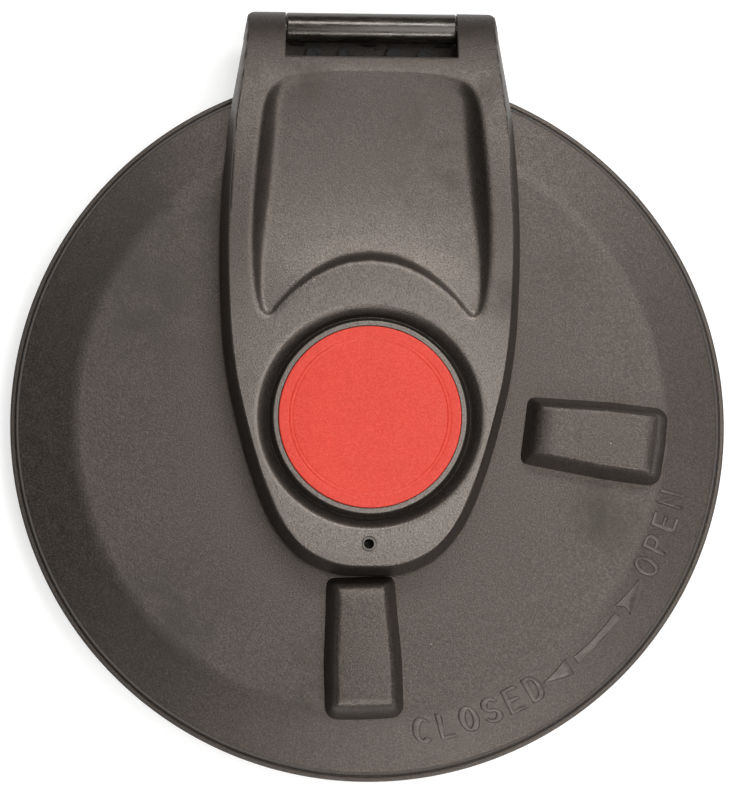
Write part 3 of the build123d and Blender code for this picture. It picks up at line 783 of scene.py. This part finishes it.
# ---- materials ----
class Finish:
    """A node material built up from procedural textures in object space, in metres."""

    def __init__(self, name):
        self.material = bpy.data.materials.new(name)
        self.material.use_nodes = True
        self.nodes = self.material.node_tree.nodes
        self.links = self.material.node_tree.links
        self.shader = self.nodes["Principled BSDF"]
        coords = self.add("ShaderNodeTexCoord")
        self.place = coords.outputs["Object"]
        self.rise = self.add("ShaderNodeSeparateXYZ", {"Vector": coords.outputs["Normal"]}).outputs["Z"]

    def add(self, kind, inputs=(), **settings):
        node = self.nodes.new(kind)
        for key, value in settings.items():
            setattr(node, key, value)
        for key, value in dict(inputs).items():
            self.feed(node.inputs[key], value)
        return node

    def feed(self, socket, value):
        if isinstance(value, bpy.types.NodeSocket):
            self.links.new(value, socket)
        else:
            socket.default_value = value

    def noise(self, size, detail=3.0, rough=0.55, stretch=(1, 1, 1), shift=(0, 0, 0), twist=0.0):
        """Noise from 0 to 1 whose features are about size metres across."""
        scaled = self.add("ShaderNodeMapping", {"Vector": self.place, "Scale": stretch, "Location": shift})
        texture = self.add("ShaderNodeTexNoise", {
            "Vector": scaled.outputs[0], "Scale": 1 / size, "Detail": detail, "Roughness": rough,
            "Distortion": twist,
        })
        return texture.outputs[0]

    def span(self, value, low, high, out_low=0.0, out_high=1.0):
        """The value taken smoothly from low..high to out_low..out_high."""
        node = self.add("ShaderNodeMapRange", {
            "Value": value, "From Min": low, "From Max": high, "To Min": out_low, "To Max": out_high,
        }, interpolation_type="SMOOTHSTEP")
        return node.outputs[0]

    def math(self, operation, a, b=0.0):
        return self.add("ShaderNodeMath", {0: a, 1: b}, operation=operation).outputs[0]

    def mix(self, amount, a, b, way="MIX"):
        node = self.add("ShaderNodeMix", data_type="RGBA", blend_type=way)
        for socket, value in ((node.inputs[0], amount), (node.inputs[6], a), (node.inputs[7], b)):
            if isinstance(value, tuple) and len(value) == 3:
                value = value + (1.0,)
            self.feed(socket, value)
        return node.outputs[2]

    def near(self, spots, core=0.0):
        """1 near each (x, y, z, radius) spot, in millimetres, falling to 0 at its edge.
        core is the share of the radius that stays at 1."""
        total = None
        for x, y, z, radius in spots:
            centre = (x * MM, y * MM, z * MM)
            away = self.add("ShaderNodeVectorMath", {0: self.place, 1: centre}, operation="DISTANCE")
            here = self.span(away.outputs["Value"], core * radius * MM, radius * MM, 1.0, 0.0)
            total = here if total is None else self.math("MAXIMUM", total, here)
        return total

    def specks(self, cell, size, share, shift=(0, 0, 0)):
        """Small round spots, one in some of the cells."""
        moved = self.add("ShaderNodeMapping", {"Vector": self.place, "Location": shift})
        cells = self.add("ShaderNodeTexVoronoi", {"Vector": moved.outputs[0], "Scale": 1 / cell})
        spot = self.span(cells.outputs["Distance"], size / cell * 0.6, size / cell, 1.0, 0.0)
        chosen = self.add("ShaderNodeSeparateColor", {"Color": cells.outputs["Color"]})
        keep = self.math("LESS_THAN", chosen.outputs[0], share)
        return self.math("MULTIPLY", spot, keep)

    def bump(self, height, depth, under=None):
        node = self.add("ShaderNodeBump", {"Height": height, "Distance": depth, "Strength": 1.0})
        if under is not None:
            self.feed(node.inputs["Normal"], under)
        return node.outputs[0]

    def done(self, colour, roughness, normal=None, **uniform):
        self.feed(self.shader.inputs["Base Color"], colour)
        self.feed(self.shader.inputs["Roughness"], roughness)
        if normal is not None:
            self.feed(self.shader.inputs["Normal"], normal)
        for key, value in uniform.items():
            self.shader.inputs[key].default_value = value
        return self.material


WARM = (1.0, 0.87, 0.79, 1.0)      # tint of the black plastics' shine
SHEEN_PAINT = (0.118, 0.107, 0.098)     # paler base colour painted on the arm's upward faces as sheen


def moulded_plastic(name, colour, stains=(), wear=1.0, sheen_spots=(), seed=0.0, shine=0.5):
    """Dark spark-grained polypropylene, cloudy, a little oily where it is handled, with pale specks, and
    painted sheen: a paler base colour on upward faces near the given sheen spots.
    """
    f = Finish(name)
    shift = (seed, seed * 0.7, seed * 0.3)
    cloud = f.noise(0.055, 4.0, 0.6, shift=shift)
    mottle = f.noise(0.006, 4.0, 0.6, shift=shift)
    grain = f.noise(0.0008, 2.0, 0.7, shift=shift)

    def tone(amount):
        return tuple(c * amount for c in colour)

    base = f.mix(f.span(cloud, 0.32, 0.68), tone(0.8), tone(1.2))
    base = f.mix(f.span(mottle, 0.3, 0.7, 0.0, 0.4), base, tone(1.7))
    base = f.mix(f.span(grain, 0.34, 0.50, 0.95, 0.0), base, tone(0.05))
    base = f.mix(f.span(grain, 0.50, 0.66, 0.0, 0.95), base, tone(2.8))
    scuff = f.noise(0.0035, 5.0, 0.7, stretch=(1, 9, 1), shift=shift, twist=0.6)
    scuffed = f.math("MULTIPLY", f.span(scuff, 0.62, 0.74), f.span(cloud, 0.45, 0.7))
    base = f.mix(f.math("MULTIPLY", scuffed, 0.2 * wear), base, (0.12, 0.105, 0.095))
    rough = f.math("ADD", f.span(mottle, 0.25, 0.75, 0.39, 0.45), f.span(grain, 0.3, 0.7, 0.06, -0.06))
    # painted sheen: upward faces near the spots get a paler base colour standing in for the shine on the arm's
    # top; the lower roughness there is real
    if sheen_spots:
        painted_sheen = f.math("MULTIPLY", f.near(sheen_spots, 0.35), f.span(f.rise, 0.90, 0.985))
        base = f.mix(f.math("MULTIPLY", painted_sheen, f.span(grain, 0.3, 0.7, 0.3, 1.0)), base, SHEEN_PAINT)
        rough = f.math("SUBTRACT", rough, f.math("MULTIPLY", painted_sheen, 0.13))
    if stains:
        patchy = f.noise(0.026, 6.0, 0.60, shift=shift, twist=0.6)
        oily = f.math("MULTIPLY", f.span(patchy, 0.34, 0.62), f.near(stains))
        oil = (colour[0] * 0.22, colour[1] * 0.34, colour[2] * 0.20)
        base = f.mix(f.math("MULTIPLY", oily, 0.9), base, oil)
        rough = f.math("ADD", rough, f.math("MULTIPLY", oily, 0.13))
    for cell, size, share, strength, dust in (
        (0.011, 0.00042, 0.07, 0.7, (0.40, 0.38, 0.35)), (0.0045, 0.00024, 0.10, 0.5, (0.24, 0.22, 0.20)),
    ):
        base = f.mix(f.math("MULTIPLY", f.specks(cell, size, share, shift), strength * wear), base, dust)
    waves = f.bump(mottle, 0.00004)
    normal = f.bump(grain, 0.00013, waves)
    return f.done(base, rough, normal, **{"Specular IOR Level": shine, "Specular Tint": WARM})


def letter_sheen_plastic():
    """The raised letters: the lid's plastic rubbed smooth, with a paler base colour painted all over them as
    the sheen on their tops.
    """
    f = Finish("legend_painted_sheen")
    mottle = f.noise(0.006, 4.0, 0.6)
    grain = f.noise(0.0009, 2.0, 0.7)
    # painted sheen: base colour paler than the lid's, for the shine on the letters' rounded tops
    base = f.mix(f.span(mottle, 0.35, 0.65), (0.022, 0.0195, 0.0175), (0.055, 0.049, 0.045))
    base = f.mix(f.span(grain, 0.4, 0.7, 0.0, 0.5), base, (0.095, 0.086, 0.079))
    rough = f.span(mottle, 0.3, 0.7, 0.42, 0.34)
    normal = f.bump(grain, 0.00002, f.bump(mottle, 0.00004))
    return f.done(base, rough, normal, **{"Specular IOR Level": 0.5, "Specular Tint": WARM})


def cap_plastic():
    """Coral red polypropylene, finely mottled, with faint dull smears."""
    f = Finish("cap_coral")
    grain = f.noise(0.0009, 3.0, 0.7)
    mottle = f.noise(0.0045, 4.0, 0.6)
    cloud = f.noise(0.030, 3.0, 0.5)
    base = f.mix(f.span(cloud, 0.3, 0.7), (0.455, 0.027, 0.0145), (0.495, 0.031, 0.0175))
    base = f.mix(f.span(mottle, 0.3, 0.7, 0.0, 0.4), base, (0.42, 0.021, 0.011))
    base = f.mix(f.span(grain, 0.35, 0.75, 0.0, 0.5), base, (0.60, 0.085, 0.060))
    smear = f.noise(0.009, 5.0, 0.7, stretch=(1, 0.25, 1), twist=1.2)
    base = f.mix(f.span(smear, 0.60, 0.78, 0.0, 0.2), base, (0.31, 0.026, 0.016))
    rough = f.span(smear, 0.3, 0.75, 0.50, 0.42)
    normal = f.bump(grain, 0.000035, f.bump(mottle, 0.00003))
    return f.done(base, rough, normal, **{"Specular IOR Level": 0.25})


def barrel_plastic():
    """Black acetal polished by use, scuffed along its length."""
    f = Finish("barrel_acetal")
    grain = f.noise(0.0014, 3.0, 0.6)
    rub = f.noise(0.0040, 5.0, 0.65, stretch=(0.25, 1.6, 1.6), twist=0.7)
    base = f.mix(f.span(rub, 0.35, 0.7), (0.009, 0.007, 0.006), (0.022, 0.019, 0.016))
    base = f.mix(f.math("MULTIPLY", f.specks(0.006, 0.0003, 0.2), 0.7), base, (0.30, 0.28, 0.26))
    rough = f.span(rub, 0.3, 0.75, 0.20, 0.34)
    normal = f.bump(grain, 0.00003, f.bump(rub, 0.00006))
    return f.done(base, rough, normal, **{"Specular IOR Level": 0.6, "Specular Tint": (1.0, 0.93, 0.88, 1)})


def rubber():
    """Matt black seal rubber with a dusty bloom."""
    f = Finish("seal_nitrile")
    bloom = f.noise(0.012, 5.0, 0.65)
    grain = f.noise(0.0007, 2.0, 0.6)
    base = f.mix(f.span(bloom, 0.4, 0.72), (0.014, 0.014, 0.014), (0.046, 0.044, 0.041))
    rough = f.span(bloom, 0.3, 0.7, 0.62, 0.85)
    return f.done(base, rough, f.bump(grain, 0.00004))


def metal(name, colour, tarnish, rough_low, rough_high):
    """Turned metal with fine tool marks and thin tarnish."""
    f = Finish(name)
    marks = f.noise(0.0006, 3.0, 0.6, stretch=(0.3, 0.3, 4.0))
    stain = f.noise(0.006, 5.0, 0.65, twist=0.6)
    base = f.mix(f.span(stain, 0.5, 0.78, 0.0, 0.6), colour, tarnish)
    rough = f.math("ADD", f.span(stain, 0.3, 0.75, rough_low, rough_high), f.span(marks, 0.3, 0.7, 0.0, 0.06))
    return f.done(base, rough, f.bump(marks, 0.000012), Metallic=1.0)


def nylon():
    """Natural nylon, creamy, faintly cloudy and slightly translucent at its edges."""
    f = Finish("nylon_natural")
    cloud = f.noise(0.008, 4.0, 0.6)
    grain = f.noise(0.0009, 2.0, 0.6)
    base = f.mix(f.span(cloud, 0.3, 0.7), (0.62, 0.58, 0.48), (0.72, 0.69, 0.60))
    rough = f.span(cloud, 0.3, 0.7, 0.38, 0.50)
    depth = {"Subsurface Weight": 0.08, "Subsurface Radius": (0.002, 0.0015, 0.001)}
    return f.done(base, rough, f.bump(grain, 0.00002), **depth)


ARM_STAINS = [(34, 142, 44, 40), (-62, 166, 42, 22), (62, 160, 42, 26), (30, 122, 44, 30), (-34, 168, 44, 20),
              (66, 60, 50, 18), (-66, 20, 48, 20)]
# spot where painted sheen brightens the arm's upward faces
ARM_SHEEN_SPOTS = [(0, -10, 52, 130)]
LID_STAINS = [(-118, 60, 29, 60), (-100, 104, 29, 50), (-96, -92, 29, 46), (118, -46, 29, 30), (96, 72, 29, 20),
              (-30, -128, 29, 30)]
DARK_LID, DARK_ARM, DARK_NECK = (0.0155, 0.0131, 0.0116), (0.0110, 0.0093, 0.0082), (0.012, 0.010, 0.009)

finishes = {
    "lid_plastic": moulded_plastic("lid_moulded", DARK_LID, LID_STAINS, 1.0, (), 0.31, 0.62),
    "arm_plastic": moulded_plastic("arm_moulded", DARK_ARM, ARM_STAINS, 0.8, ARM_SHEEN_SPOTS, 0.17, 0.70),
    "neck_plastic": moulded_plastic("neck_moulded", DARK_NECK, (), 0.4, (), 0.53),
    "cap_red": cap_plastic(),
    "barrel_black": barrel_plastic(),
    "seal_rubber": rubber(),
    "stainless": metal("stainless_turned", (0.62, 0.61, 0.59), (0.36, 0.33, 0.29), 0.22, 0.38),
    "black_steel": metal("blackened_steel", (0.045, 0.045, 0.047), (0.09, 0.07, 0.055), 0.38, 0.55),
    "brass": metal("brass_turned", (0.78, 0.57, 0.26), (0.40, 0.27, 0.12), 0.24, 0.42),
    "nylon": nylon(),
}
for cad_node in [o for o in bpy.context.scene.objects if o.type == "MESH"]:
    for holder in cad_node.material_slots:
        holder.material = finishes[holder.material.name]

bpy.context.scene.objects["tip_eyelet"].material_slots[0].material = metal(
    "eyelet_worn", (0.095, 0.090, 0.083), (0.045, 0.040, 0.034), 0.34, 0.50,
)
arm = make_arm()
lid = make_lid()
legend = make_legend()
cap = make_cap()
barrel = make_barrel()
letters = letter_sheen_plastic()
for piece, finish in (
    (arm, finishes["arm_plastic"]), (lid, finishes["lid_plastic"]), (legend, letters),
    (cap, finishes["cap_red"]), (barrel, finishes["barrel_black"]),
):
    piece.data.materials.append(finish)


# ---- floor, light and camera ----
FLOOR_GAP = 0.3                # the floor lies a hair under the gasket, so that the two faces stay apart
LAMP_COLOUR = (1.0, 0.99, 0.975)
SENSOR = 36.0


def make_floor():
    low = cad_bounds[0][2] / MM - FLOOR_GAP
    size, count = 6000.0, 24
    steps = np.linspace(-size / 2, size / 2, count + 1)
    verts = [(x, y, low) for y in steps for x in steps]
    row = count + 1
    faces = [(j * row + i, j * row + i + 1, (j + 1) * row + i + 1, (j + 1) * row + i)
             for j in range(count) for i in range(count)]
    floor = make_mesh("floor", verts, faces, 30)
    f = Finish("white_board")
    cloud = f.noise(0.25, 3.0, 0.5)
    base = f.mix(f.span(cloud, 0.3, 0.7), (0.52, 0.52, 0.52), (0.54, 0.54, 0.54))
    lit = {"Specular IOR Level": 0.1, "Emission Color": (1, 1, 1, 1), "Emission Strength": 0.60}
    floor.data.materials.append(f.done(base, 0.9, None, **lit))


TARGET = Vector((0.0, 0.014, 0.02))


def soft_box(name, towards, tilt, away, length, width, brightness):
    """Lit panel aimed at the part, tilt degrees from straight up and away metres off.
    towards is its compass direction from the part, in degrees from +X."""
    turn, rise = math.radians(towards), math.radians(tilt)
    flat = Vector((math.cos(turn), math.sin(turn), 0))
    aim = -(flat * math.sin(rise) + Vector((0, 0, 1)) * math.cos(rise))
    side = Vector((-math.sin(turn), math.cos(turn), 0))
    data = bpy.data.lights.new(name, "AREA")
    data.shape = "RECTANGLE"
    data.size, data.size_y = length, width
    data.energy = brightness * math.pi * length * width
    data.color = LAMP_COLOUR
    lamp = bpy.data.objects.new(name, data)
    lamp.location = TARGET - aim * away
    lamp.rotation_euler = Matrix((side, side.cross(aim), -aim)).transposed().to_euler()
    bpy.context.scene.collection.objects.link(lamp)


def make_light():
    soft_box("overhead", -10, 17, 1.1, 0.75, 0.75, 3.7)
    soft_box("front_box", -76, 46, 1.6, 1.25, 0.22, 19.0)
    soft_box("back_box", 77, 36, 1.6, 1.25, 0.30, 15.0)
    world = bpy.data.worlds.new("studio")
    bpy.context.scene.world = world
    world.use_nodes = True
    nodes, links = world.node_tree.nodes, world.node_tree.links
    nodes.clear()
    coords = nodes.new("ShaderNodeTexCoord")
    lean = nodes.new("ShaderNodeVectorMath")
    lean.operation = "DOT_PRODUCT"
    lean.inputs[1].default_value = (0.75, -0.62, 0.10)
    links.new(coords.outputs["Generated"], lean.inputs[0])
    ramp = nodes.new("ShaderNodeMapRange")
    ramp.inputs["From Min"].default_value = -0.2
    ramp.inputs["From Max"].default_value = 0.9
    ramp.inputs["To Min"].default_value = 0.10
    ramp.inputs["To Max"].default_value = 0.36
    links.new(lean.outputs["Value"], ramp.inputs["Value"])
    glow = nodes.new("ShaderNodeBackground")
    glow.inputs["Color"].default_value = (*LAMP_COLOUR, 1)
    links.new(ramp.outputs[0], glow.inputs["Strength"])
    out = nodes.new("ShaderNodeOutputWorld")
    links.new(glow.outputs[0], out.inputs["Surface"])


def make_camera():
    away, width = 4.0, 0.3655
    tilt_y, tilt_x, roll = math.radians(6.8), math.radians(1.9), math.radians(0.41)
    aim_at = Vector((-0.0001, 0.0139, 0.016))
    look = Vector((math.sin(tilt_x), math.sin(tilt_y), -math.cos(tilt_y))).normalized()
    side = look.cross(Vector((-math.sin(roll), math.cos(roll), 0))).normalized()
    turn = Matrix((side, side.cross(look), -look)).transposed()
    data = bpy.data.cameras.new("camera")
    data.sensor_fit = "HORIZONTAL"
    data.sensor_width = SENSOR
    data.lens = SENSOR * away / width
    data.clip_end = 20.0
    camera = bpy.data.objects.new("camera", data)
    camera.location = aim_at - look * away
    camera.rotation_euler = turn.to_euler()
    bpy.context.scene.collection.objects.link(camera)
    bpy.context.scene.camera = camera


make_floor()
make_light()
make_camera()
bpy.context.scene.view_settings.view_transform = "Standard"
